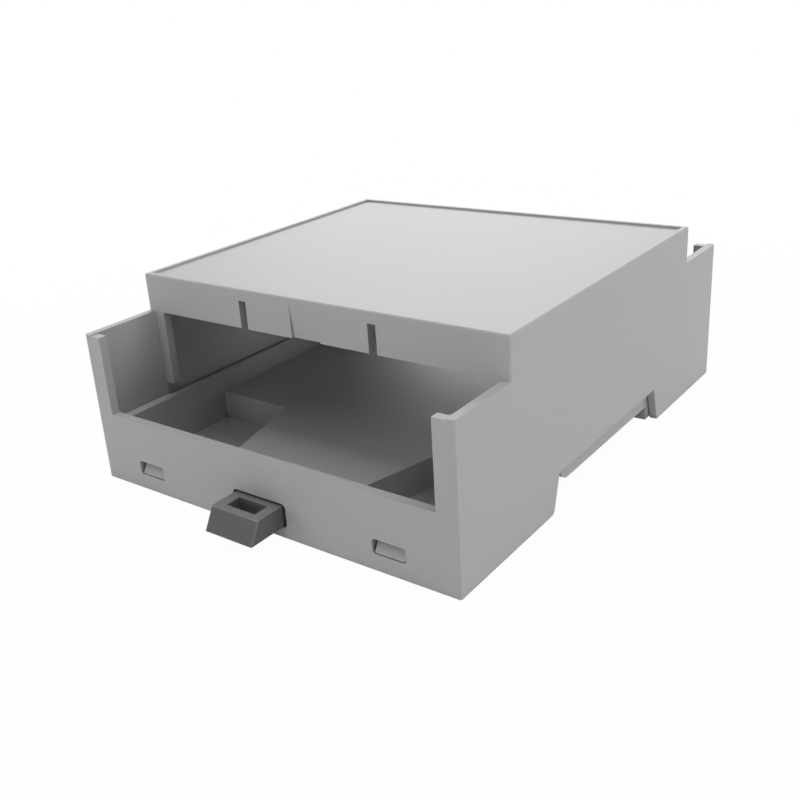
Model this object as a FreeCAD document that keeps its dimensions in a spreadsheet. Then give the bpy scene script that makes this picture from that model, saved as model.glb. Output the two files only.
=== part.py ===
import FreeCAD, Part
import math
import os
import re
import Sketcher

# Low enclosure for a 35 mm top-hat rail: a cover moulding, a base tray and a sliding rail clip.
# Sketch frame: X across the width from the middle, Y from the front face, Z from the underside.
# Each piece is then shifted, so that the part's origin is the middle of the rail seat.

# Driving dimensions in millimetres: the word each is called by, its value, what it measures
SIZES = (
    ("width", 70.7, "over the two side walls, four rail modules"),
    ("length", 90.0, "front face to rear face"),
    ("height", 32.2, "underside to the top rim"),
    ("shoulder", 25.7, "height of the side walls beside the terminals"),
    ("terminal_depth", 13.8, "front face to the raised middle"),
    ("side_wall", 1.3, "cover side wall"),
    ("end_wall", 1.5, "cover front and rear wall"),
    ("flange_wall", 1.5, "wall between shoulder and top"),
    ("top_plate", 1.5, "plate under the label recess"),
    ("panel_recess", 0.4, "depth of the label recess"),
    ("rim_side", 0.95, "rim beside the label recess"),
    ("rim_front", 1.05, "rim in front of the label recess"),
    ("rim_rear", 0.95, "rim behind the label recess"),
    ("sill", 12.05, "height of the wall under the terminals"),
    ("lip_width", 3.4, "return lip at each corner, with the side wall"),
    ("lip_drop", 0.2, "return lip below the shoulder"),
    ("tongue_width", 24.0, "flexing tongue between its two slots"),
    ("tongue_slot", 1.5, "slot beside the tongue"),
    ("notch_width", 5.7, "finger notch in the tongue"),
    ("notch_top", 0.7, "top rim to the finger notch"),
    ("notch_depth", 0.5, "finger notch at its foot"),
    ("window_span", 47.8, "between the middles of two snap windows"),
    ("window_width", 5.65, "snap window"),
    ("window_height", 2.4, "snap window"),
    ("window_foot", 2.6, "underside to the snap window"),
    ("window_round", 0.5, "corner radius of a snap window"),
    ("mouth_width", 10.5, "opening for the rail clip"),
    ("mouth_foot", 1.7, "underside to the opening for the rail clip"),
    ("mouth_round", 0.7, "corner radius of that opening"),
    ("pillar_depth", 2.1, "hold-down pillar off the side wall"),
    ("board_gap", 2.25, "room for a circuit board over the base"),
    ("slot_middle", 45.35, "front face to the middle of the rail slot"),
    ("slot_foot", 39.0, "rail slot along the underside"),
    ("slot_head", 35.5, "rail slot along its top"),
    ("slot_height", 6.2, "rail slot in the side walls"),
    ("slot_round", 1.1, "foot of the side wall before the rail slot"),
    ("edge_round", 0.3, "outer edges of the cover"),
    ("fit_gap", 0.15, "between cover and base"),
    ("base_wall", 1.2, "base walls and floor"),
    ("base_foot", 0.2, "underside of the cover to that of the base"),
    ("base_height", 10.4, "underside to the base rim"),
    ("base_lead", 0.4, "bevel inside the base rim"),
    ("relief_width", 0.4, "rebate outside the base rim, beside the board"),
    ("relief_depth", 1.0, "rebate outside the base rim, beside the board"),
    ("hump_top", 6.5, "floor over the rail"),
    ("hump_plate", 1.0, "plate over the rail and the clip"),
    ("rail_centre", 45.4, "front face to the middle of the rail"),
    ("rail_width", 35.0, "top-hat rail"),
    ("rail_lip", 1.0, "sheet of the rail"),
    ("seat", 2.65, "underside to the rail seat"),
    ("rail_gap", 0.2, "clearance round the rail"),
    ("hook_overlap", 1.0, "fixed hook under the rail"),
    ("hook_inset", 2.4, "side of the base to the fixed hook"),
    ("clip_room", 0.9, "recess in front of the rail"),
    ("rib_start", 2.6, "rail edge to the seat ribs"),
    ("rib_wall", 1.3, "seat rib"),
    ("rib_toe", 0.15, "straight part above the round front end of a seat rib"),
    ("rib_span", 44.0, "between the two inner seat ribs"),
    ("seat_bar", 1.5, "seat in front of the fixed hook"),
    ("channel_front", 22.4, "clip channel at its front end"),
    ("channel_rear", 34.8, "clip channel at its rear end"),
    ("guide_end", 7.5, "front face to the end of the clip guides"),
    ("guide_wall", 1.2, "clip guide"),
    ("tab_gap", 0.3, "beside and above a snap tab in its window"),
    ("tab_rest", 0.1, "below a snap tab in its window"),
    ("tab_inset", 0.2, "front face to the foot of a snap tab"),
    ("tab_slope", 0.9, "how far a snap tab leans back"),
    ("clip_width", 9.4, "stem of the rail clip"),
    ("clip_foot", 1.95, "underside to the stem"),
    ("clip_gap", 0.2, "running clearance of the clip"),
    ("clip_out", 5.1, "head of the clip, top edge before the front face"),
    ("clip_slope", 1.9, "head of the clip, foot beyond its top edge"),
    ("tool_width", 5.7, "tool hole in the head"),
    ("tool_length", 2.7, "tool hole in the head"),
    ("tool_inset", 1.1, "front face to the tool hole"),
    ("clip_travel", 2.5, "travel of the clip"),
    ("tail_width", 14.0, "tail of the clip"),
    ("tail_length", 3.6, "tail of the clip"),
    ("hook_width", 12.0, "hook of the clip"),
    ("clip_overlap", 1.2, "clip hook under the rail"),
    ("hook_lead", 0.7, "bevel under the clip hook"),
    ("arm_wall", 1.0, "spring arm"),
    ("arm_middle", 20.0, "front face to the middle of the arm's curve"),
    ("arm_tip", 1.5, "straight end of a spring arm"),
    ("arm_gap", 0.7, "spring arm to the channel, across, with the clip pulled out"),
    ("head_round", 0.2, "edges of the clip head"),
    ("cut_over", 1.0, "how far a cut runs past the face it opens"),
)
CLOSE = 1e-4
WORDS = {word for word, number, meaning in SIZES}

# Levels and lines that several pieces share, written in the sheet's words
CEILING = "(height - panel_recess - top_plate)"
BASE_END = "(end_wall + fit_gap)"
BASE_HALF = "(width / 2 - side_wall - fit_gap)"
UNDER_HUMP = "(hump_top - hump_plate)"
MOUTH_TOP = f"({UNDER_HUMP} + fit_gap)"
RAIL_FRONT = "(rail_centre - rail_width / 2)"
RAIL_REAR = "(rail_centre + rail_width / 2)"
RECESS_FRONT = f"({RAIL_FRONT} - clip_room)"
HUMP_FRONT = f"({RECESS_FRONT} - base_wall)"
RECESS_REAR = f"({RAIL_REAR} + rail_gap)"
HOOK_FACE = f"({RAIL_REAR} - hook_overlap)"
GROOVE_TOP = "(seat + rail_gap)"
HOOK_TOP = "(seat - rail_lip - rail_gap)"
RIB_FRONT = f"({RAIL_FRONT} + rib_start)"
RIB_REAR = f"({HOOK_FACE} - seat_bar)"
CLIP_TOP = f"({UNDER_HUMP} - clip_gap)"
CLIP_STOP = f"({RAIL_FRONT} - rail_gap)"
LEDGE_TOP = "(clip_foot - clip_gap)"
CHANNEL_START = f"({BASE_END} + base_wall)"
ARM_OPEN = f"((arm_middle - clip_travel - {CHANNEL_START}) / ({HUMP_FRONT} - {CHANNEL_START}))"
ARM_REACH = (f"(channel_front / 2 + (channel_rear - channel_front) / 2 * {ARM_OPEN}"
             " - base_wall - arm_gap)")

doc = FreeCAD.newDocument("din_rail_enclosure")
sheet = doc.addObject("Spreadsheet::Sheet", "Sizes")


def fill_sheet():
    """Write each driving dimension into the sheet and give its cell a name."""
    for row, (word, number, meaning) in enumerate(SIZES, start=1):
        sheet.set(f"A{row}", str(number))
        sheet.setAlias(f"A{row}", word)
        sheet.set(f"B{row}", meaning)
    doc.recompute()


def bound(text):
    """Turn words of the sheet into references to its cells."""
    return re.sub(r"[a-z_]+", lambda found: qualified(found.group(0)), text)


def qualified(word):
    """Put the sheet's name before a word that it holds."""
    return f"Sizes.{word}" if word in WORDS else word


def number_of(text):
    """Work out a size written in the sheet's words."""
    return float(sheet.evalExpression(text))


def new_piece(label):
    """Start a piece and shift its frame to the middle of the rail seat."""
    body = doc.addObject("PartDesign::Body", label)
    body.Label = label
    body.setExpression("Placement.Base.y", bound("-rail_centre"))
    body.setExpression("Placement.Base.z", bound("-seat"))
    return body


def new_sketch(body, name, role, shift="0"):
    """Attach a sketch to one of the piece's own origin planes, moved along its normal."""
    sketch = body.newObject("Sketcher::SketchObject", name)
    plane = next(item for item in body.Origin.OriginFeatures if item.Role == role)
    sketch.AttachmentSupport = [(plane, "")]
    sketch.MapMode = "FlatFace"
    sketch.setExpression("AttachmentOffset.Base.z", bound(shift))
    return sketch


def drive(sketch, kind, geometry, point, text):
    """Hold one coordinate of a sketch point at a size from the sheet."""
    index = sketch.addConstraint(Sketcher.Constraint(kind, -1, 1, geometry, point, number_of(text)))
    sketch.setExpression(f"Constraints[{index}]", bound(text))


def add_outline(sketch, corners):
    """Draw a closed outline of straight sides through corners given in the sheet's words."""
    places = [FreeCAD.Vector(number_of(across), number_of(up), 0) for across, up in corners]
    first = sketch.GeometryCount
    count = len(corners)
    for side in range(count):
        sketch.addGeometry(Part.LineSegment(places[side], places[(side + 1) % count]), False)
    for side in range(count):
        joined = first + (side + 1) % count
        sketch.addConstraint(Sketcher.Constraint("Coincident", first + side, 2, joined, 1))
    for side, (across, up) in enumerate(corners):
        drive(sketch, "DistanceX", first + side, 1, across)
        drive(sketch, "DistanceY", first + side, 1, up)


def add_box(sketch, left, right, low, high):
    """Draw a rectangle between four lines given in the sheet's words."""
    add_outline(sketch, [(left, low), (right, low), (right, high), (left, high)])


def extrude(body, kind, sketch, depth, both_ways=False, backwards=False):
    """Pad or pocket a sketch by a depth given in the sheet's words."""
    feature = body.newObject(f"PartDesign::{kind}", f"{sketch.Name}_{kind.lower()}")
    feature.Profile = sketch
    feature.SideType = "Symmetric" if both_ways else "One side"
    feature.Reversed = backwards
    feature.setExpression("Length", bound(depth))
    sketch.Visibility = False
    return feature


def edges_where(body, test):
    """Name the edges of the finished piece whose two ends pass a test."""
    doc.recompute()
    shape = body.Tip.Shape
    return [f"Edge{number}" for number, edge in enumerate(shape.Edges, start=1)
            if all(test(vertex.Point) for vertex in edge.Vertexes)]


def straight_along(edge, axis):
    """Tell whether an edge runs straight along one axis."""
    ends = [vertex.Point for vertex in edge.Vertexes]
    if len(ends) != 2:
        return False
    run = ends[1] - ends[0]
    return near(abs(run[axis]), run.Length)


def edges_along(body, axis, test):
    """Name the straight edges along one axis whose middle passes a test."""
    doc.recompute()
    shape = body.Tip.Shape
    return [f"Edge{number}" for number, edge in enumerate(shape.Edges, start=1)
            if straight_along(edge, axis) and test(edge.CenterOfMass)]


def dress(body, kind, name, edges, size):
    """Round or bevel the named edges of the piece by a size from the sheet."""
    before = body.Tip
    feature = body.newObject(f"PartDesign::{kind}", name)
    feature.Base = (before, edges)
    feature.setExpression("Radius" if kind == "Fillet" else "Size", bound(size))
    return feature


def near(first, second):
    """Compare two lengths closely."""
    return abs(first - second) < CLOSE


def cover_shell(body):
    """Cover: stepped block, hollow below, open over the terminals."""
    side = new_sketch(body, "cover_side", "YZ_Plane")
    step_back = "length - terminal_depth"
    add_outline(side, [("0", "0"), ("0", "shoulder"), ("terminal_depth", "shoulder"),
                       ("terminal_depth", "height"), (step_back, "height"),
                       (step_back, "shoulder"), ("length", "shoulder"), ("length", "0")])
    extrude(body, "Pad", side, "width", both_ways=True)
    hollow = new_sketch(body, "cover_hollow", "YZ_Plane")
    over = "shoulder + cut_over"
    flange = "terminal_depth + flange_wall"
    add_outline(hollow, [("end_wall", "-cut_over"), ("end_wall", over), ("terminal_depth", over),
                         ("terminal_depth", "shoulder"), (flange, "shoulder"), (flange, CEILING),
                         (f"length - ({flange})", CEILING), (f"length - ({flange})", "shoulder"),
                         (step_back, "shoulder"), (step_back, over),
                         ("length - end_wall", over), ("length - end_wall", "-cut_over")])
    extrude(body, "Pocket", hollow, "width - 2 * side_wall", both_ways=True)


def cover_terminal_openings(body):
    """Cover: wide openings in both end walls, which leave a return lip at each corner."""
    opening = new_sketch(body, "cover_terminals", "XZ_Plane")
    edge = "(width / 2 - lip_width)"
    add_box(opening, f"-{edge}", edge, "sill", "shoulder")
    extrude(body, "Pocket", opening, "3 * length", both_ways=True)
    for place, shift in (("front", "0"), ("rear", "-(length - end_wall)")):
        drop = new_sketch(body, f"cover_lips_{place}", "XZ_Plane", shift)
        inside = "(width / 2 - side_wall)"
        foot = "shoulder - lip_drop"
        add_box(drop, f"-{inside}", inside, foot, "shoulder + cut_over")
        extrude(body, "Pocket", drop, "end_wall", backwards=False)


def cover_rail_slots(body):
    """Cover: slot through both side walls, which clears the rail."""
    slot = new_sketch(body, "cover_rail_slot", "YZ_Plane")
    lean = "(slot_foot - slot_head) / 2 / slot_height * cut_over"
    add_outline(slot, [(f"slot_middle - slot_foot / 2 - {lean}", "-cut_over"),
                       ("slot_middle - slot_head / 2", "slot_height"),
                       ("slot_middle + slot_head / 2", "slot_height"),
                       (f"slot_middle + slot_foot / 2 + {lean}", "-cut_over")])
    extrude(body, "Pocket", slot, "width + cut_over", both_ways=True)


def cover_top(body):
    """Cover: label recess in the top, tongue slots and finger notch in both flanges."""
    label = new_sketch(body, "cover_label", "XY_Plane", "height")
    add_box(label, "-(width / 2 - rim_side)", "width / 2 - rim_side",
            "terminal_depth + rim_front", "length - terminal_depth - rim_rear")
    extrude(body, "Pocket", label, "panel_recess")
    slots = new_sketch(body, "cover_tongue_slots", "XZ_Plane")
    near_edge = "(tongue_width / 2)"
    far_edge = "(tongue_width / 2 + tongue_slot)"
    add_box(slots, f"-{far_edge}", f"-{near_edge}", "shoulder", CEILING)
    add_box(slots, near_edge, far_edge, "shoulder", CEILING)
    extrude(body, "Pocket", slots, "3 * length", both_ways=True)
    face = "terminal_depth"
    deep = "(terminal_depth + notch_depth)"
    top = "height - notch_top"
    for place, sign in (("front", ""), ("rear", "length - ")):
        notch = new_sketch(body, f"cover_notch_{place}", "YZ_Plane")
        add_outline(notch, [(f"{sign}{face}", "shoulder"), (f"{sign}{deep}", "shoulder"),
                            (f"{sign}{face}", top)])
        extrude(body, "Pocket", notch, "notch_width", both_ways=True)


def cover_wall_windows(body):
    """Cover: snap windows in both end walls and the mouth for the rail clip."""
    windows = new_sketch(body, "cover_windows", "XZ_Plane")
    inner = "(window_span / 2 - window_width / 2)"
    outer = "(window_span / 2 + window_width / 2)"
    head = "window_foot + window_height"
    add_box(windows, f"-{outer}", f"-{inner}", "window_foot", head)
    add_box(windows, inner, outer, "window_foot", head)
    extrude(body, "Pocket", windows, "3 * length", both_ways=True)
    mouth = new_sketch(body, "cover_mouth", "XZ_Plane", "cut_over")
    add_box(mouth, "-mouth_width / 2", "mouth_width / 2", "mouth_foot", MOUTH_TOP)
    extrude(body, "Pocket", mouth, "cut_over + end_wall + cut_over", backwards=False)


def cover_pillars(body):
    """Cover: four pillars inside the side walls, which hold a circuit board down."""
    pillars = new_sketch(body, "cover_pillars", "XY_Plane", "base_height + board_gap")
    inner = "(width / 2 - side_wall - pillar_depth)"
    outer = "(width / 2 - side_wall / 2)"
    for left, right in ((f"-{outer}", f"-{inner}"), (inner, outer)):
        add_box(pillars, left, right, "terminal_depth", "terminal_depth + flange_wall")
        add_box(pillars, left, right, "length - terminal_depth - flange_wall",
                "length - terminal_depth")
    extrude(body, "Pad", pillars, f"{CEILING} - base_height - board_gap")


def round_cover(body):
    """Cover: rounded windows, rail slot foot and outer edges."""
    window = number_of("window_foot + window_height / 2")
    half = number_of("window_height / 2")
    span = number_of("window_span / 2")
    wide = number_of("window_width / 2")
    in_window = edges_along(body, 1, lambda at: near(abs(at.z - window), half)
                            and near(abs(abs(at.x) - span), wide))
    dress(body, "Fillet", "round_windows", in_window, "window_round")
    mouth = number_of("mouth_width / 2")
    low = number_of("mouth_foot")
    high = number_of(MOUTH_TOP)
    in_mouth = edges_along(body, 1, lambda at: near(abs(at.x), mouth)
                           and (near(at.z, low) or near(at.z, high)))
    dress(body, "Fillet", "round_mouth", in_mouth, "mouth_round")
    foot = number_of("slot_middle - slot_foot / 2")
    at_slot = edges_along(body, 0, lambda at: near(at.z, 0) and near(at.y, foot))
    dress(body, "Fillet", "round_slot_foot", at_slot, "slot_round")
    top = number_of("height")
    side = number_of("width / 2")
    front = number_of("terminal_depth")
    rear = number_of("length - terminal_depth")
    end = number_of("length")
    shoulder = number_of("shoulder")
    around_top = [f"Edge{number}" for number, edge in enumerate(body_edges(body), start=1)
                  if is_top_edge(edge, top, side, front, rear)]
    corners = edges_along(body, 2, lambda at: near(abs(at.x), side)
                          and (near(at.y, 0) or near(at.y, end)
                               or (at.z > shoulder and (near(at.y, front) or near(at.y, rear)))))
    dress(body, "Fillet", "round_edges", around_top + corners, "edge_round")


def body_edges(body):
    """Give the edges of the piece as it stands."""
    doc.recompute()
    return body.Tip.Shape.Edges


def is_top_edge(edge, top, side, front, rear):
    """Tell whether an edge is one of the four round the top."""
    middle = edge.CenterOfMass
    if not near(middle.z, top):
        return False
    return near(abs(middle.x), side) or near(middle.y, front) or near(middle.y, rear)


def make_cover():
    """Cover: one moulding, open below, with the top, the side walls and both end walls."""
    body = new_piece("cover")
    cover_shell(body)
    cover_terminal_openings(body)
    cover_rail_slots(body)
    cover_pillars(body)
    cover_top(body)
    cover_wall_windows(body)
    round_cover(body)
    return body


def base_tray(body):
    """Base: tray with the rail recess across its underside."""
    side = new_sketch(body, "base_side", "YZ_Plane")
    end = f"(length - {BASE_END})"
    add_outline(side, [(BASE_END, "base_foot"), (RECESS_FRONT, "base_foot"),
                       (RECESS_FRONT, UNDER_HUMP),
                       (RIB_FRONT, UNDER_HUMP), (RIB_FRONT, "seat"), (RECESS_REAR, "seat"),
                       (RECESS_REAR, "base_foot"), (end, "base_foot"), (end, "base_height"),
                       (BASE_END, "base_height")])
    extrude(body, "Pad", side, f"2 * {BASE_HALF}", both_ways=True)
    inside = new_sketch(body, "base_inside", "YZ_Plane")
    front = f"({BASE_END} + base_wall)"
    hump_rear = f"({RECESS_REAR} + base_wall)"
    over = "base_height + cut_over"
    floor = "(base_foot + base_wall)"
    add_outline(inside, [(front, floor), (HUMP_FRONT, floor), (HUMP_FRONT, "hump_top"),
                         (hump_rear, "hump_top"), (hump_rear, floor),
                         (f"length - {front}", floor), (f"length - {front}", over),
                         (front, over)])
    extrude(body, "Pocket", inside, f"2 * ({BASE_HALF} - base_wall)", both_ways=True)


def base_rail_hook(body):
    """Base: fixed hook and groove for the rear edge of the rail, between the side walls."""
    span = f"2 * ({BASE_HALF} - hook_inset)"
    hook = new_sketch(body, "base_rail_hook", "YZ_Plane")
    add_box(hook, HOOK_FACE, f"({RECESS_REAR} + base_wall / 2)", "base_foot", HOOK_TOP)
    extrude(body, "Pad", hook, span, both_ways=True)
    groove = new_sketch(body, "base_rail_groove", "YZ_Plane")
    add_box(groove, HOOK_FACE, RECESS_REAR, HOOK_TOP, GROOVE_TOP)
    extrude(body, "Pocket", groove, span, both_ways=True)


def base_rim_relief(body):
    """Base: rebate outside both side walls at the rim, between the pillars of the cover."""
    relief = new_sketch(body, "base_rim_relief", "XY_Plane", "base_height")
    inner = f"({BASE_HALF} - relief_width)"
    outer = f"({BASE_HALF} + cut_over)"
    for left, right in ((f"-{outer}", f"-{inner}"), (inner, outer)):
        add_box(relief, left, right, "terminal_depth", "length - terminal_depth")
    extrude(body, "Pocket", relief, "relief_depth")


def base_seat_ribs(body):
    """Base: the rail recess is cut out between the seat ribs."""
    bays = new_sketch(body, "base_bays", "XY_Plane", "seat - cut_over")
    edge = f"({BASE_HALF} - rib_wall)"
    inner = "(rib_span / 2 - rib_wall / 2)"
    outer = "(rib_span / 2 + rib_wall / 2)"
    front = f"{RIB_FRONT} - cut_over"
    for left, right in ((f"-{edge}", f"-{outer}"), (f"-{inner}", inner), (outer, edge)):
        add_box(bays, left, right, front, RIB_REAR)
    extrude(body, "Pocket", bays, f"{UNDER_HUMP} - seat + cut_over", backwards=True)


def base_channel(body):
    """Base: flared channel for the clip, open below, from the front wall to the rail recess."""
    front = f"({BASE_END} + base_wall / 2)"
    rear = f"({HUMP_FRONT} + base_wall / 2)"
    housing = new_sketch(body, "base_channel", "XY_Plane", "base_foot")
    add_outline(housing, [("-channel_front / 2", front), ("channel_front / 2", front),
                          ("channel_rear / 2", rear), ("-channel_rear / 2", rear)])
    extrude(body, "Pad", housing, "hump_top - base_foot")
    cavity = new_sketch(body, "base_channel_inside", "XY_Plane")
    front_half = "(channel_front / 2 - base_wall)"
    rear_half = "(channel_rear / 2 - base_wall)"
    add_outline(cavity, [(f"-{front_half}", CHANNEL_START), (front_half, CHANNEL_START),
                         (rear_half, HUMP_FRONT), (f"-{rear_half}", HUMP_FRONT)])
    extrude(body, "Pocket", cavity, UNDER_HUMP, backwards=True)


def base_clip_ways(body):
    """Base: the clip passes through the front wall and through the wall of the recess."""
    mouth = new_sketch(body, "base_mouth", "XZ_Plane", f"-({BASE_END} - cut_over)")
    add_box(mouth, "-mouth_width / 2", "mouth_width / 2", "-cut_over", UNDER_HUMP)
    extrude(body, "Pocket", mouth, "base_wall + 2 * cut_over")
    tail = new_sketch(body, "base_tail_way", "XZ_Plane", f"-({HUMP_FRONT} - cut_over)")
    half = "(hook_width / 2 + clip_gap)"
    add_box(tail, f"-{half}", half, "-cut_over", UNDER_HUMP)
    extrude(body, "Pocket", tail, "base_wall + 2 * cut_over")


def base_clip_guides(body):
    """Base: an L-shaped guide on each side of the clip's stem."""
    guides = new_sketch(body, "base_guides", "XZ_Plane", f"-({BASE_END} + base_wall / 2)")
    near_side = "(clip_width / 2 + clip_gap)"
    far_side = f"({near_side} + guide_wall)"
    toe = f"({near_side} - guide_wall)"
    foot = f"({LEDGE_TOP} - guide_wall)"
    top = f"({UNDER_HUMP} + hump_plate / 2)"
    for sign in ("-", ""):
        add_outline(guides, [(f"{sign}{near_side}", top), (f"{sign}{near_side}", LEDGE_TOP),
                             (f"{sign}{toe}", LEDGE_TOP), (f"{sign}{toe}", foot),
                             (f"{sign}{far_side}", foot), (f"{sign}{far_side}", top)])
    extrude(body, "Pad", guides, f"guide_end - {BASE_END} - base_wall / 2", backwards=True)


def base_snap_tabs(body):
    """Base: four wedge tabs, which snap into the windows of the cover."""
    foot = "window_foot + tab_rest"
    head = "window_foot + window_height - tab_gap"
    root = f"({BASE_END} + base_wall / 2)"
    lean = "(tab_inset + tab_slope)"
    for end, sign in (("front", ""), ("rear", "length - ")):
        for side, middle in (("left", "-window_span / 2"), ("right", "window_span / 2")):
            tab = new_sketch(body, f"base_tab_{end}_{side}", "YZ_Plane", middle)
            add_outline(tab, [(f"{sign}{root}", foot), (f"{sign}tab_inset", foot),
                              (f"{sign}{lean}", head), (f"{sign}{root}", head)])
            extrude(body, "Pad", tab, "window_width - 2 * tab_gap", both_ways=True)


def round_base(body):
    """Base: rounded snap tabs and front ends of the outer seat ribs, and a bevel inside the rim."""
    low = number_of("window_foot + tab_rest")
    high = number_of("window_foot + window_height - tab_gap")
    span = number_of("window_span / 2")
    wide = number_of("window_width / 2 - tab_gap")
    on_tab = edges_along(body, 1, lambda at: near(abs(abs(at.x) - span), wide)
                         and (near(at.z, low) or near(at.z, high)))
    dress(body, "Fillet", "round_tabs", on_tab, "window_round - tab_gap")
    seat = number_of("seat")
    front = number_of(RIB_FRONT)
    outer_rib = number_of(f"{BASE_HALF} - rib_wall")
    at_rib = edges_along(body, 0, lambda at: near(at.z, seat) and near(at.y, front)
                         and abs(at.x) > outer_rib)
    dress(body, "Fillet", "round_ribs", at_rib, f"{UNDER_HUMP} - seat - rib_toe")
    rim = number_of("base_height")
    side = number_of(f"{BASE_HALF} - base_wall")
    first = number_of(f"{BASE_END} + base_wall")
    last = number_of(f"length - {BASE_END} - base_wall")
    inside = [f"Edge{number}" for number, edge in enumerate(body_edges(body), start=1)
              if near(edge.CenterOfMass.z, rim)
              and (near(abs(edge.CenterOfMass.x), side) or near(edge.CenterOfMass.y, first)
                   or near(edge.CenterOfMass.y, last))]
    dress(body, "Chamfer", "bevel_rim", inside, "base_lead")


def make_base():
    """Base: one moulding that fits up into the cover."""
    body = new_piece("base")
    base_tray(body)
    base_rail_hook(body)
    base_rim_relief(body)
    base_seat_ribs(body)
    base_channel(body)
    base_clip_ways(body)
    base_clip_guides(body)
    base_snap_tabs(body)
    round_base(body)
    return body


def clip_stem(body):
    """Rail clip: straight stem with a sloping head, a broad tail and a hook under the rail."""
    stem = new_sketch(body, "clip_stem", "YZ_Plane")
    tail_front = f"({HUMP_FRONT} - clip_gap - tail_length)"
    add_outline(stem, [("-clip_out - clip_slope", "clip_foot"), ("-clip_out", CLIP_TOP),
                       (f"{tail_front} + cut_over", CLIP_TOP),
                       (f"{tail_front} + cut_over", "clip_foot")])
    extrude(body, "Pad", stem, "clip_width", both_ways=True)
    tail = new_sketch(body, "clip_tail", "XY_Plane", "clip_foot")
    add_box(tail, "-tail_width / 2", "tail_width / 2", tail_front, f"({HUMP_FRONT} - clip_gap)")
    extrude(body, "Pad", tail, f"{CLIP_TOP} - clip_foot")
    hook = new_sketch(body, "clip_hook", "YZ_Plane")
    tip = f"({RAIL_FRONT} + clip_overlap)"
    foot = "clip_gap"
    add_outline(hook, [(f"{RECESS_FRONT} - clip_travel", foot), (f"{tip} - hook_lead", foot),
                       (tip, f"{foot} + hook_lead"), (tip, HOOK_TOP), (CLIP_STOP, HOOK_TOP),
                       (CLIP_STOP, CLIP_TOP), (f"{RECESS_FRONT} - clip_travel", CLIP_TOP)])
    extrude(body, "Pad", hook, "hook_width", both_ways=True)


def add_arm(sketch, sign):
    """Draw one spring arm, a quarter ring with a straight end, on one side of the stem."""
    root = "(clip_width / 2 - arm_wall)"
    outer = f"({ARM_REACH} - {root})"
    inner = f"({outer} - arm_wall)"
    side = 1 if sign == "" else -1
    middle = FreeCAD.Vector(side * number_of(root), number_of("arm_middle"), 0)
    start, end = (-math.pi / 2, 0) if side > 0 else (math.pi, 3 * math.pi / 2)
    first = sketch.GeometryCount
    for radius in (outer, inner):
        circle = Part.Circle(middle, FreeCAD.Vector(0, 0, 1), number_of(radius))
        sketch.addGeometry(Part.ArcOfCircle(circle, start, end), False)
    low, out = (1, 2) if side > 0 else (2, 1)
    for arc, radius in ((first, outer), (first + 1, inner)):
        drive(sketch, "DistanceX", arc, 3, f"{sign}{root}")
        drive(sketch, "DistanceY", arc, 3, "arm_middle")
        drive(sketch, "DistanceX", arc, low, f"{sign}{root}")
        drive(sketch, "DistanceY", arc, out, "arm_middle")
        index = sketch.addConstraint(Sketcher.Constraint("Radius", arc, number_of(radius)))
        sketch.setExpression(f"Constraints[{index}]", bound(radius))
    reach = number_of(ARM_REACH) * side
    back = number_of(f"{ARM_REACH} - arm_wall") * side
    level = number_of("arm_middle")
    tip = number_of("arm_middle + arm_tip")
    points = [FreeCAD.Vector(reach, level, 0), FreeCAD.Vector(reach, tip, 0),
              FreeCAD.Vector(back, tip, 0), FreeCAD.Vector(back, level, 0)]
    for place in range(3):
        sketch.addGeometry(Part.LineSegment(points[place], points[place + 1]), False)
    sketch.addGeometry(Part.LineSegment(sketch.getPoint(first, low), sketch.getPoint(first + 1, low)),
                       False)
    pairs = ((first, out, first + 2, 1), (first + 2, 2, first + 3, 1), (first + 3, 2, first + 4, 1),
             (first + 4, 2, first + 1, out), (first + 1, low, first + 5, 2),
             (first, low, first + 5, 1))
    for one, one_end, other, other_end in pairs:
        sketch.addConstraint(Sketcher.Constraint("Coincident", one, one_end, other, other_end))
    for line, coordinate in ((first + 2, ARM_REACH), (first + 3, f"({ARM_REACH} - arm_wall)")):
        drive(sketch, "DistanceX", line, 2, f"{sign}{coordinate}")
        drive(sketch, "DistanceY", line, 2, "arm_middle + arm_tip")


def clip_arms(body):
    """Rail clip: two curved spring arms, which bear on the flared channel."""
    arms = new_sketch(body, "clip_arms", "XY_Plane", "clip_foot + clip_gap")
    add_arm(arms, "-")
    add_arm(arms, "")
    extrude(body, "Pad", arms, f"{CLIP_TOP} - clip_foot - 2 * clip_gap")


def clip_tool_hole(body):
    """Rail clip: hole through the head for a screwdriver blade."""
    hole = new_sketch(body, "clip_tool_hole", "XY_Plane", "-cut_over")
    add_box(hole, "-tool_width / 2", "tool_width / 2", "-tool_inset - tool_length", "-tool_inset")
    extrude(body, "Pocket", hole, f"{CLIP_TOP} + 2 * cut_over", backwards=True)


def round_clip(body):
    """Rail clip: softened edges round the head."""
    half = number_of("clip_width / 2")
    front = number_of("-clip_out")
    foot = number_of("clip_foot")
    slope = number_of("clip_slope")
    edges = [f"Edge{number}" for number, edge in enumerate(body_edges(body), start=1)
             if edge.CenterOfMass.y < front + CLOSE and edge.CenterOfMass.z > foot + CLOSE
             and (near(abs(edge.CenterOfMass.x), half) or near(edge.CenterOfMass.y, front))
             and edge.CenterOfMass.y > front - slope]
    dress(body, "Fillet", "round_head", edges, "head_round")


def make_rail_clip():
    """Rail clip: one moulding that slides in the base and holds the rail's front edge."""
    body = new_piece("rail_clip")
    clip_stem(body)
    clip_arms(body)
    clip_tool_hole(body)
    round_clip(body)
    return body


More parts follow.
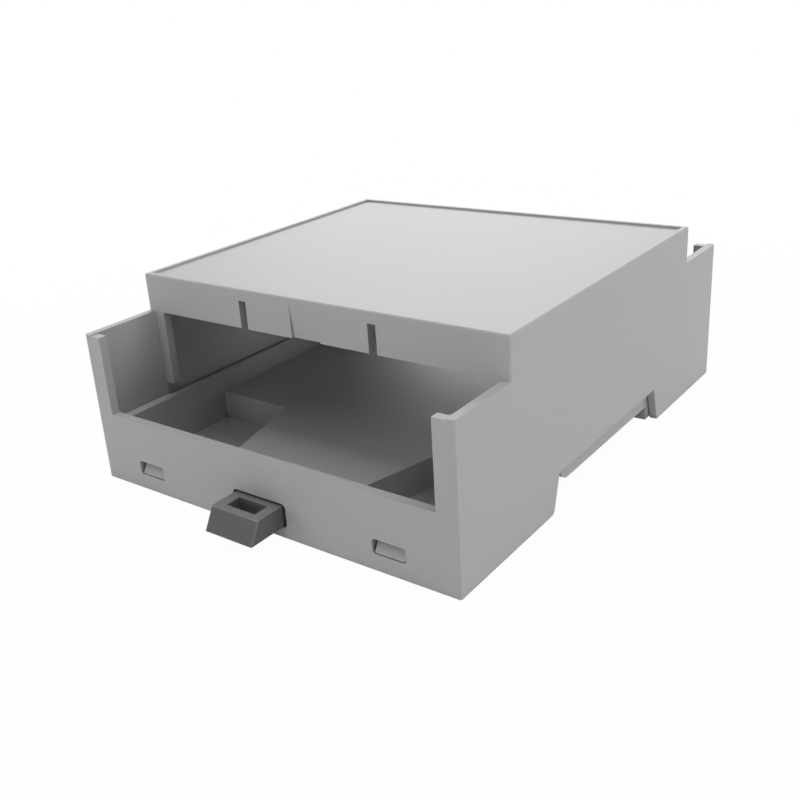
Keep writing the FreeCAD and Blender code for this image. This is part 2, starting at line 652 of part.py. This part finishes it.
def write_pieces(pieces):
    """Check every object of the document and every piece, then write one file per piece."""
    doc.recompute()
    failed = [item.Name for item in doc.Objects if {"Invalid", "Error"} & set(item.State)]
    if failed:
        raise RuntimeError(f"failed objects: {failed}")
    for piece in pieces:
        if piece.Shape.isNull() or not piece.Shape.isValid() or len(piece.Shape.Solids) != 1:
            raise RuntimeError(f"bad shape: {piece.Label}")
    os.makedirs("parts", exist_ok=True)
    for piece in pieces:
        piece.Shape.exportStep(f"parts/{piece.Label}.step")
        print(piece.Label, round(piece.Shape.Volume, 1), "mm3", piece.Shape.BoundBox)


fill_sheet()
write_pieces([make_cover(), make_base(), make_rail_clip()])
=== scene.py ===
"""Finishes and studio for a low enclosure that clips onto a 35 mm top-hat rail."""

import math

import bmesh
import bpy
from bpy.props import FloatProperty, FloatVectorProperty, IntProperty, PointerProperty
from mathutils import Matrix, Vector


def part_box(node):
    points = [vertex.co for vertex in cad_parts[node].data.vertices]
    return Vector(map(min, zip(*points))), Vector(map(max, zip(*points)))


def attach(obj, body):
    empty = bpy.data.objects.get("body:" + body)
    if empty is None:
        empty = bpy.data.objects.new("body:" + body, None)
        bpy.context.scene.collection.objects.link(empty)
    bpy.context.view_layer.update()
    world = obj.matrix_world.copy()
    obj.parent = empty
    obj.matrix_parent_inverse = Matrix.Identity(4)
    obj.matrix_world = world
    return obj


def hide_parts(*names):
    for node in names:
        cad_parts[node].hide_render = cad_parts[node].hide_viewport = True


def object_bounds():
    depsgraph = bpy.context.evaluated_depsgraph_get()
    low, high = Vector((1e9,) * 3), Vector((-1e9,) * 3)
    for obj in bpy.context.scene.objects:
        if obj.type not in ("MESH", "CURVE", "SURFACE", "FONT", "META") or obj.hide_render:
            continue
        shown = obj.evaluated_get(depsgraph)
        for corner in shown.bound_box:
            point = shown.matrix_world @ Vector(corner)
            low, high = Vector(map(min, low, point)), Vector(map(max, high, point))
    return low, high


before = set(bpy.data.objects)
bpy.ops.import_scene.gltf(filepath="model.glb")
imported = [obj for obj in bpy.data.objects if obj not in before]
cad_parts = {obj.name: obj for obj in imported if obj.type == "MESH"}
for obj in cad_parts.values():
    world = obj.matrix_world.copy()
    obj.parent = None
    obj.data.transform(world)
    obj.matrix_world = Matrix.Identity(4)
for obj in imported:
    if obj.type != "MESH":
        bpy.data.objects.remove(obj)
CAD_BOX = [list(corner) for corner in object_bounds()]

bl_info = {
    "name": "Rail enclosure",
    "version": (1, 0, 0),
    "blender": (4, 5, 0),
    "location": "View3D > Sidebar > Enclosure",
    "description": "Dresses the cover, the base and the rail clip, and sets up the studio",
    "category": "Object",
}

MM = 0.001
UNDERSIDE = CAD_BOX[0][2]
MIDDLE = Vector((CAD_BOX[0][i] + CAD_BOX[1][i] for i in range(3))) / 2
COVER_FRONT, COVER_REAR = (corner.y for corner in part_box("cover"))
COVER_MIDDLE = (COVER_FRONT + COVER_REAR) / 2
HALF_LENGTH = (COVER_REAR - COVER_FRONT) / 2

# How closely the facets of a solid are joined into whole faces.
WELD_DISTANCE = 0.001 * MM
FLAT_ANGLE = math.radians(0.4)

# A face that is longer and narrower than this is a strip of a rounded edge.
STRIP_LENGTH = 1.2 * MM
STRIP_WIDTH = 0.12 * MM

# What a noise node mostly answers, and what it changes in a plastic.
NOISE_LOW, NOISE_HIGH = 0.3, 0.7
FLOW_SCALE = 45.0
FLOW_TINT = 0.006
DULLNESS_SPREAD = 0.05

# How open a spot is where the painted shade of a gap is deepest, and where it ends.
DEEP_IN_A_GAP = 0.2
OPEN_ENOUGH = 0.58

# Painted light: faces that look up more than this are made lighter.
FACES_UP_FROM = 0.5

# Painted shade on the snap tabs: depth of a snap tab's face behind the end wall in millimetres,
# and the share of its colour that the painted shade leaves there. The first depth is that of the
# tray's own wall, which keeps its colour.
TAB_SHADES = ((1.60, 1.0), (1.45, 0.5), (0.85, 0.66), (0.40, 1.0))
TAB_DEPTH = TAB_SHADES[0][0]

# Lamps by name: degrees round from the front, degrees above the floor, and size in metres.
LAMPS = (
    ("overhead", 0, 90, 1.6),
    ("high_front", 0, 52, 1.6),
    ("high_right", 60, 52, 1.6),
    ("high_rear", 120, 52, 1.6),
    ("rear_left", 212, 28, 1.6),
    ("low_front", 0, 15, 1.5),
    ("low_left", 315, 15, 1.5),
    ("floor_right", 90, 5, 0.5),
    ("floor_rear", 135, 5, 0.5),
)

# The floor is all white from FLOOR_FAR on; nearer than FLOOR_NEAR, this share of it is white.
FLOOR_HALF = 8.0
FLOOR_NEAR, FLOOR_FAR = 0.07, 0.16
FLOOR_WHITE_SHARE = 0.97


class MouldingSizes(bpy.types.PropertyGroup):
    """Small sizes of the three mouldings."""

    edge_radius: FloatProperty(
        name="Edge radius", description="Radius that the mould leaves on each sharp edge",
        default=0.07 * MM, min=0.0, subtype="DISTANCE", unit="LENGTH", precision=5)
    clip_edge_radius: FloatProperty(
        name="Clip edge radius", description="Radius of the rubbed edges of the rail clip",
        default=0.13 * MM, min=0.0, subtype="DISTANCE", unit="LENGTH", precision=5)
    edge_steps: IntProperty(
        name="Edge steps", description="Facets across each rounded edge", default=2, min=1, max=4)
    corner_angle: FloatProperty(
        name="Corner angle", description="Edges that turn by more than this are rounded",
        default=math.radians(32), subtype="ANGLE", unit="ROTATION")
    # Painted shade: how far the ambient occlusion reaches that darkens narrow gaps.
    painted_shade_reach: FloatProperty(
        name="Seam reach", description="Widest gap that gathers shade and dust",
        default=1.2 * MM, min=0.0, subtype="DISTANCE", unit="LENGTH", precision=5)
    grain: FloatProperty(
        name="Grain", description="Size of the spark-eroded grain of the mould",
        default=0.22 * MM, min=0.0, subtype="DISTANCE", unit="LENGTH", precision=5)
    grain_depth: FloatProperty(
        name="Grain depth", description="Depth of the grain",
        default=0.006 * MM, min=0.0, subtype="DISTANCE", unit="LENGTH", precision=6)


class MouldingColours(bpy.types.PropertyGroup):
    """Colours and gloss of the plastics."""

    housing: FloatVectorProperty(
        name="Housing", description="Light grey of the cover and the base",
        default=(0.430, 0.430, 0.427), size=3, min=0.0, max=1.0, subtype="COLOR")
    clip: FloatVectorProperty(
        name="Rail clip", description="Dark grey of the rail clip",
        default=(0.131, 0.131, 0.131), size=3, min=0.0, max=1.0, subtype="COLOR")
    # Painted highlight: lighter grey on the clip's rounded edges.
    clip_edges: FloatVectorProperty(
        name="Clip edges", description="Lighter grey where the clip's edges are rubbed",
        default=(0.178, 0.178, 0.178), size=3, min=0.0, max=1.0, subtype="COLOR")
    # Painted light: lightens the clip's upper faces, which the lamps leave in the enclosure's
    # shadow.
    clip_painted_top_light: FloatProperty(
        name="Clip film", description="How much lighter dust makes the clip's upper faces",
        default=0.62, min=0.0, max=2.0, subtype="FACTOR")
    # Painted shade: how much the colour is darkened deep in narrow gaps, where shade falls.
    painted_gap_shade: FloatProperty(
        name="Seam shade", description="How much darker the plastic is deep in a narrow gap",
        default=0.65, min=0.0, max=1.0, subtype="FACTOR")
    dullness: FloatProperty(
        name="Dullness", description="Roughness of the light grey plastic", default=0.58, min=0.0,
        max=1.0, subtype="FACTOR")
    shine: FloatProperty(
        name="Shine", description="Specular level of the light grey plastic", default=0.35,
        min=0.0, max=1.0, subtype="FACTOR")
    clip_dullness: FloatProperty(
        name="Clip dullness", description="Roughness of the dark grey plastic", default=0.6,
        min=0.0, max=1.0, subtype="FACTOR")
    clip_shine: FloatProperty(
        name="Clip shine", description="Specular level of the dark grey plastic", default=0.1,
        min=0.0, max=1.0, subtype="FACTOR")
    floor: FloatVectorProperty(
        name="Floor", description="Pale floor of the studio", default=(0.86, 0.86, 0.825), size=3,
        min=0.0, max=1.0, subtype="COLOR")


class StudioSettings(bpy.types.PropertyGroup):
    """Lamps, world and camera of the studio."""

    distance: FloatProperty(
        name="Lamp distance", description="Middle of the enclosure to each lamp", default=3.0,
        min=0.5, subtype="DISTANCE", unit="LENGTH")
    overhead: FloatProperty(
        name="Overhead", description="Power of the large soft lamp straight above",
        default=27.8, min=0.0, unit="POWER")
    high_front: FloatProperty(
        name="High front", description="Power of the large soft lamp high in front",
        default=5.2, min=0.0, unit="POWER")
    high_right: FloatProperty(
        name="High right", description="Power of the large soft lamp high on the right",
        default=10.1, min=0.0, unit="POWER")
    high_rear: FloatProperty(
        name="High rear", description="Power of the large soft lamp high behind on the right",
        default=22.3, min=0.0, unit="POWER")
    rear_left: FloatProperty(
        name="Rear left", description="Power of the main soft lamp, behind on the left",
        default=44.9, min=0.0, unit="POWER")
    low_front: FloatProperty(
        name="Low front", description="Power of the soft lamp low in front",
        default=15.3, min=0.0, unit="POWER")
    low_left: FloatProperty(
        name="Low left", description="Power of the soft lamp low in front on the left",
        default=15.2, min=0.0, unit="POWER")
    floor_right: FloatProperty(
        name="Floor right", description="Power of the small lamp near the floor on the right",
        default=10.8, min=0.0, unit="POWER")
    floor_rear: FloatProperty(
        name="Floor rear", description="Power of the small lamp behind on the right, by the floor",
        default=13.1, min=0.0, unit="POWER")
    focal_length: FloatProperty(
        name="Focal length", description="Focal length for a sensor 36 mm wide", default=44.579,
        min=1.0)
    camera_place: FloatVectorProperty(
        name="Camera place", description="Where the photograph was taken from",
        default=(0.095631, -0.136314, 0.072795), size=3, subtype="TRANSLATION", unit="LENGTH",
        precision=6)
    camera_turn: FloatVectorProperty(
        name="Camera turn", description="How the camera is turned",
        default=[math.radians(angle) for angle in (68.3842, 3.8887, 36.9728)], size=3,
        subtype="EULER", unit="ROTATION")
    camera_shift: FloatVectorProperty(
        name="Camera shift", description="Shift that the photograph's framing needs",
        default=(0.03484, -0.03224), size=2, precision=5)


def moulding_sizes():
    """Sizes of the mouldings as the scene holds them."""
    return bpy.context.scene.enclosure_sizes


def moulding_colours():
    """Colours of the mouldings as the scene holds them."""
    return bpy.context.scene.enclosure_colours


def studio_settings():
    """Studio settings as the scene holds them."""
    return bpy.context.scene.enclosure_studio


def add_node(tree, kind, x, y, values=None, **settings):
    """Add a shader node at a place in the editor, with its settings and input values."""
    node = tree.nodes.new(kind)
    node.location = (x, y)
    for name, value in settings.items():
        setattr(node, name, value)
    for name, value in (values or {}).items():
        node.inputs[name].default_value = value
    return node


def map_range(tree, x, y, source, limits, results):
    """Map a value between two limits onto two results, and answer with the output."""
    node = add_node(tree, "ShaderNodeMapRange", x, y, {
        "From Min": limits[0], "From Max": limits[1], "To Min": results[0], "To Max": results[1]})
    tree.links.new(source, node.inputs["Value"])
    return node.outputs["Result"]


def combine(tree, x, y, operation, first, second):
    """Combine two outputs by one operation, and answer with the output."""
    node = add_node(tree, "ShaderNodeMath", x, y, operation=operation)
    tree.links.new(first, node.inputs[0])
    tree.links.new(second, node.inputs[1])
    return node.outputs["Value"]


def tab_shade(tree, place):
    """Answer the painted shade on a snap tab, darker the deeper its sloping face lies in the
    window.
    """
    along = add_node(tree, "ShaderNodeSeparateXYZ", -600, 950)
    middle = add_node(tree, "ShaderNodeMath", -420, 950, {1: COVER_MIDDLE}, operation="SUBTRACT")
    outward = add_node(tree, "ShaderNodeMath", -250, 950, operation="ABSOLUTE")
    tree.links.new(place.outputs["Object"], along.inputs["Vector"])
    tree.links.new(along.outputs["Y"], middle.inputs[0])
    tree.links.new(middle.outputs["Value"], outward.inputs[0])
    span = map_range(tree, -80, 950, outward.outputs["Value"],
                     (HALF_LENGTH - TAB_DEPTH * MM, HALF_LENGTH), (0.0, 1.0))
    ramp = add_node(tree, "ShaderNodeValToRGB", 100, 950)
    tree.links.new(span, ramp.inputs["Fac"])
    stops = ramp.color_ramp.elements
    for depth, light in TAB_SHADES:
        stop = stops[0] if depth == TAB_DEPTH else stops.new(1.0 - depth / TAB_DEPTH)
        stop.color = (light, light, light, 1.0)
    return ramp.outputs["Color"]


def base_tint(tree, place, painted_top_light, tabs):
    """Answer what a plastic's colour is multiplied by: flow marks, painted shade in gaps, painted
    light on upper faces and painted shade on snap tabs.
    """
    flow = add_node(tree, "ShaderNodeTexNoise", -600, 250,
                    {"Scale": FLOW_SCALE, "Detail": 3.0, "Roughness": 0.55})
    tree.links.new(place.outputs["Object"], flow.inputs["Vector"])
    marks = map_range(tree, -350, 250, flow.outputs["Fac"], (NOISE_LOW, NOISE_HIGH),
                      (1.0 - FLOW_TINT, 1.0 + FLOW_TINT))
    # Painted shade: ambient occlusion darkens the colour in narrow gaps and creases.
    gap = add_node(tree, "ShaderNodeAmbientOcclusion", -600, 500,
                   {"Distance": moulding_sizes().painted_shade_reach}, samples=8)
    shade = map_range(tree, -350, 500, gap.outputs["AO"], (DEEP_IN_A_GAP, OPEN_ENOUGH),
                      (1.0 - moulding_colours().painted_gap_shade, 1.0))
    tint = combine(tree, -100, 350, "MULTIPLY", marks, shade)
    # Painted light: upward faces are made lighter, standing in for light from above.
    if painted_top_light:
        upright = add_node(tree, "ShaderNodeSeparateXYZ", -600, 700)
        tree.links.new(place.outputs["Normal"], upright.inputs["Vector"])
        painted_shading = map_range(tree, -350, 700, upright.outputs["Z"], (FACES_UP_FROM, 1.0),
                         (1.0, 1.0 + painted_top_light))
        tint = combine(tree, 80, 450, "MULTIPLY", tint, painted_shading)
    # Painted shade on the snap tabs, where the window's edge shades them.
    if tabs:
        tint = combine(tree, 160, 650, "MULTIPLY", tint, tab_shade(tree, place))
    return tint


def plastic(name, colour, dullness, shine, painted_top_light=0.0, tabs=False):
    """Dull moulded plastic with a fine grain, faint flow marks and painted shade in gaps, and
    where asked painted light on upper faces and painted shade on snap tabs.
    """
    sizes = moulding_sizes()
    material = bpy.data.materials.new(name)
    material.use_nodes = True
    tree = material.node_tree
    tree.nodes.clear()
    out = add_node(tree, "ShaderNodeOutputMaterial", 900, 0)
    shader = add_node(tree, "ShaderNodeBsdfPrincipled", 600, 0,
                      {"IOR": 1.5, "Specular IOR Level": shine})
    place = add_node(tree, "ShaderNodeTexCoord", -900, 0)
    shade = add_node(tree, "ShaderNodeMix", 250, 250, {"Factor": 1.0},
                     data_type="RGBA", blend_type="MULTIPLY")
    shade.inputs["A"].default_value = (*colour, 1.0)
    grain = add_node(tree, "ShaderNodeTexNoise", -600, -150,
                     {"Scale": 1.0 / sizes.grain, "Detail": 2.0, "Roughness": 0.6})
    dull = map_range(tree, -350, -50, grain.outputs["Fac"], (NOISE_LOW, NOISE_HIGH),
                     (dullness - DULLNESS_SPREAD, dullness + DULLNESS_SPREAD))
    relief = add_node(tree, "ShaderNodeBump", 250, -250,
                      {"Strength": 1.0, "Distance": sizes.grain_depth})

    tree.links.new(place.outputs["Object"], grain.inputs["Vector"])
    tree.links.new(base_tint(tree, place, painted_top_light, tabs), shade.inputs["B"])
    tree.links.new(shade.outputs["Result"], shader.inputs["Base Color"])
    tree.links.new(dull, shader.inputs["Roughness"])
    tree.links.new(grain.outputs["Fac"], relief.inputs["Height"])
    tree.links.new(relief.outputs["Normal"], shader.inputs["Normal"])
    tree.links.new(shader.outputs["BSDF"], out.inputs["Surface"])
    return material


def soften(piece, radius):
    """Round the sharp edges of a moulding and keep its flat faces flat."""
    sizes = moulding_sizes()
    rounding = piece.modifiers.new("mould_radius", "BEVEL")
    rounding.width = radius
    rounding.segments = sizes.edge_steps
    rounding.limit_method = "ANGLE"
    rounding.angle_limit = sizes.corner_angle
    rounding.use_clamp_overlap = True
    # The faces of the rounding take the last finish, which on the clip is a painted highlight.
    rounding.material = len(piece.data.materials) - 1
    flatness = piece.modifiers.new("flat_faces", "WEIGHTED_NORMAL")
    flatness.mode = "FACE_AREA"
    flatness.weight = 100
    flatness.keep_sharp = True


def is_rounding(face):
    """Tell whether a face is one of the narrow strips of a rounded edge."""
    longest = max(edge.calc_length() for edge in face.edges)
    return longest > STRIP_LENGTH and face.calc_area() < STRIP_WIDTH * longest


def cleaned_mesh(node_name, mesh_name, edge_slot):
    """Join the facets of a solid into whole faces, and mark its rounded edges."""
    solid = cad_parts[node_name].data
    shell = bmesh.new()
    shell.from_mesh(solid)
    bmesh.ops.remove_doubles(shell, verts=shell.verts, dist=WELD_DISTANCE)
    bmesh.ops.dissolve_limit(shell, angle_limit=FLAT_ANGLE, verts=shell.verts,
                             edges=shell.edges, use_dissolve_boundaries=False)
    for face in shell.faces:
        face.smooth = True
        # Strips of rounded edges take the last finish, which on the clip is a painted highlight.
        face.material_index = edge_slot if is_rounding(face) else 0
    mesh = bpy.data.meshes.new(mesh_name)
    shell.to_mesh(mesh)
    shell.free()
    return mesh


def dressed_moulding(node_name, piece_name, body, radius, finishes):
    """Stand a softened moulding with its finishes in the place of a solid."""
    mesh = cleaned_mesh(node_name, piece_name, len(finishes) - 1)
    for finish in finishes:
        mesh.materials.append(finish)
    piece = bpy.data.objects.new(piece_name, mesh)
    bpy.context.scene.collection.objects.link(piece)
    soften(piece, radius)
    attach(piece, body)
    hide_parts(node_name)
    return piece


class ENCLOSURE_OT_cover(bpy.types.Operator):
    """Dress the cover moulding"""

    bl_idname = "enclosure.cover"
    bl_label = "Cover"

    def execute(self, context):
        """Soften the cover's edges and give it its light grey plastic."""
        colours = moulding_colours()
        finish = plastic("cover_plastic", colours.housing, colours.dullness, colours.shine)
        dressed_moulding("cover", "cover_moulding", "housing",
                         moulding_sizes().edge_radius, (finish,))
        return {"FINISHED"}


class ENCLOSURE_OT_base(bpy.types.Operator):
    """Dress the base moulding"""

    bl_idname = "enclosure.base"
    bl_label = "Base"

    def execute(self, context):
        """Soften the base's edges and give it its light grey plastic."""
        colours = moulding_colours()
        # The base's plastic carries painted shade on the snap tabs.
        finish = plastic("base_plastic", colours.housing, colours.dullness, colours.shine,
                         tabs=True)
        dressed_moulding("base", "base_moulding", "housing",
                         moulding_sizes().edge_radius, (finish,))
        return {"FINISHED"}


class ENCLOSURE_OT_rail_clip(bpy.types.Operator):
    """Dress the sliding rail clip"""

    bl_idname = "enclosure.rail_clip"
    bl_label = "Rail clip"

    def execute(self, context):
        """Soften the clip's edges and give it its dark grey plastic."""
        colours = moulding_colours()
        # Both finishes carry painted light on upper faces; the second is a lighter grey painted
        # highlight for the rounded edges.
        finish, highlit = (plastic(name, colour, colours.clip_dullness, colours.clip_shine,
                                  colours.clip_painted_top_light)
                          for name, colour in (("clip_plastic", colours.clip),
                                               ("clip_edges", colours.clip_edges)))
        dressed_moulding("rail_clip", "clip_moulding", "clip",
                         moulding_sizes().clip_edge_radius, (finish, highlit))
        return {"FINISHED"}


def mostly_seen(tree, x, y):
    """Answer 1 for rays that show the background: straight, glossy or through glass."""
    path = add_node(tree, "ShaderNodeLightPath", x, y)
    seen = combine(tree, x + 200, y, "MAXIMUM", path.outputs["Is Camera Ray"],
                   path.outputs["Is Glossy Ray"])
    return combine(tree, x + 400, y, "MAXIMUM", seen, path.outputs["Is Transmission Ray"])


def floor_finish():
    """Pale floor that looks white and keeps a faint shadow."""
    material = bpy.data.materials.new("studio_floor")
    material.use_nodes = True
    tree = material.node_tree
    tree.nodes.clear()
    out = add_node(tree, "ShaderNodeOutputMaterial", 800, 0)
    paper = add_node(tree, "ShaderNodeBsdfDiffuse", 200, 100,
                     {"Color": (*moulding_colours().floor, 1.0)})
    white = add_node(tree, "ShaderNodeEmission", 200, -100,
                     {"Color": (1.0, 1.0, 1.0, 1.0), "Strength": 1.0})
    place = add_node(tree, "ShaderNodeTexCoord", -800, -200)
    reach = add_node(tree, "ShaderNodeVectorMath", -600, -200, operation="LENGTH")
    tree.links.new(place.outputs["Object"], reach.inputs[0])
    fade = map_range(tree, -400, -200, reach.outputs["Value"], (FLOOR_NEAR, FLOOR_FAR),
                     (FLOOR_WHITE_SHARE, 1.0))
    mix = add_node(tree, "ShaderNodeMixShader", 500, 0)
    tree.links.new(combine(tree, 200, 300, "MULTIPLY", mostly_seen(tree, -600, 300), fade),
                   mix.inputs["Fac"])
    tree.links.new(paper.outputs["BSDF"], mix.inputs[1])
    tree.links.new(white.outputs["Emission"], mix.inputs[2])
    tree.links.new(mix.outputs["Shader"], out.inputs["Surface"])
    return material


def lay_floor():
    """Lay a wide floor under the enclosure."""
    shell = bmesh.new()
    corners = ((-1, -1), (1, -1), (1, 1), (-1, 1))
    shell.faces.new([shell.verts.new((FLOOR_HALF * x, FLOOR_HALF * y, UNDERSIDE))
                     for x, y in corners])
    mesh = bpy.data.meshes.new("studio_floor")
    shell.to_mesh(mesh)
    shell.free()
    mesh.materials.append(floor_finish())
    floor = bpy.data.objects.new("studio_floor", mesh)
    bpy.context.scene.collection.objects.link(floor)


def light_world():
    """White background where the camera sees it, and no light from the sky itself."""
    world = bpy.data.worlds.new("studio_world")
    bpy.context.scene.world = world
    world.use_nodes = True
    tree = world.node_tree
    tree.nodes.clear()
    out = add_node(tree, "ShaderNodeOutputWorld", 400, 0)
    white = add_node(tree, "ShaderNodeBackground", 200, 0, {"Color": (1.0, 1.0, 1.0, 1.0)})
    tree.links.new(mostly_seen(tree, -600, 0), white.inputs["Strength"])
    tree.links.new(white.outputs["Background"], out.inputs["Surface"])


def hang_lamp(name, round_from_front, above_floor, size, power):
    """Hang a square soft lamp that faces the enclosure, by its two angles in degrees."""
    turn, rise = math.radians(round_from_front), math.radians(above_floor)
    place = studio_settings().distance * Vector((math.cos(rise) * math.sin(turn),
                                                 -math.cos(rise) * math.cos(turn),
                                                 math.sin(rise)))
    lamp = bpy.data.lights.new(name, "AREA")
    lamp.shape = "SQUARE"
    lamp.size = size
    lamp.energy = power
    holder = bpy.data.objects.new(name, lamp)
    holder.location = place
    holder.rotation_euler = (MIDDLE - place).to_track_quat("-Z", "Y").to_euler()
    bpy.context.scene.collection.objects.link(holder)


def place_camera():
    """Set the camera where the photograph was taken from."""
    settings = studio_settings()
    camera = bpy.data.cameras.new("camera")
    camera.sensor_width = 36.0
    camera.lens = settings.focal_length
    camera.shift_x, camera.shift_y = settings.camera_shift
    camera.clip_start = 0.01
    camera.clip_end = 20.0
    holder = bpy.data.objects.new("camera", camera)
    holder.location = settings.camera_place
    holder.rotation_euler = settings.camera_turn
    bpy.context.scene.collection.objects.link(holder)
    bpy.context.scene.camera = holder


class ENCLOSURE_OT_stage(bpy.types.Operator):
    """Set up the floor, the lamps and the camera"""

    bl_idname = "enclosure.stage"
    bl_label = "Stage"

    def execute(self, context):
        """Lay the floor, light the enclosure softly and place the camera."""
        settings = studio_settings()
        lay_floor()
        light_world()
        for name, round_from_front, above_floor, size in LAMPS:
            hang_lamp(f"lamp_{name}", round_from_front, above_floor, size,
                      getattr(settings, name))
        place_camera()
        context.scene.view_settings.view_transform = "Standard"
        return {"FINISHED"}


class ENCLOSURE_PT_panel(bpy.types.Panel):
    """List the steps that dress the enclosure."""

    bl_idname = "ENCLOSURE_PT_panel"
    bl_label = "Rail enclosure"
    bl_space_type = "VIEW_3D"
    bl_region_type = "UI"
    bl_category = "Enclosure"

    def draw(self, context):
        """Draw one button for each step and the settings below them."""
        for step in OPERATORS:
            self.layout.operator(step.bl_idname)
        for group in (moulding_sizes(), moulding_colours(), studio_settings()):
            for name in group.__annotations__:
                self.layout.prop(group, name)


GROUPS = (MouldingSizes, MouldingColours, StudioSettings)
OPERATORS = (ENCLOSURE_OT_stage, ENCLOSURE_OT_cover, ENCLOSURE_OT_base, ENCLOSURE_OT_rail_clip)


def register():
    """Register the classes and hang the settings on the scene."""
    for item in (*GROUPS, *OPERATORS, ENCLOSURE_PT_panel):
        bpy.utils.register_class(item)
    bpy.types.Scene.enclosure_sizes = PointerProperty(type=MouldingSizes)
    bpy.types.Scene.enclosure_colours = PointerProperty(type=MouldingColours)
    bpy.types.Scene.enclosure_studio = PointerProperty(type=StudioSettings)


def unregister():
    """Take the settings and the classes away again."""
    del bpy.types.Scene.enclosure_studio
    del bpy.types.Scene.enclosure_colours
    del bpy.types.Scene.enclosure_sizes
    for item in reversed((*GROUPS, *OPERATORS, ENCLOSURE_PT_panel)):
        bpy.utils.unregister_class(item)


def main():
    """Register the settings and steps, set up the studio and dress the enclosure."""
    register()
    bpy.ops.enclosure.stage()
    bpy.ops.enclosure.cover()
    bpy.ops.enclosure.base()
    bpy.ops.enclosure.rail_clip()


if __name__ == "__main__":
    main()
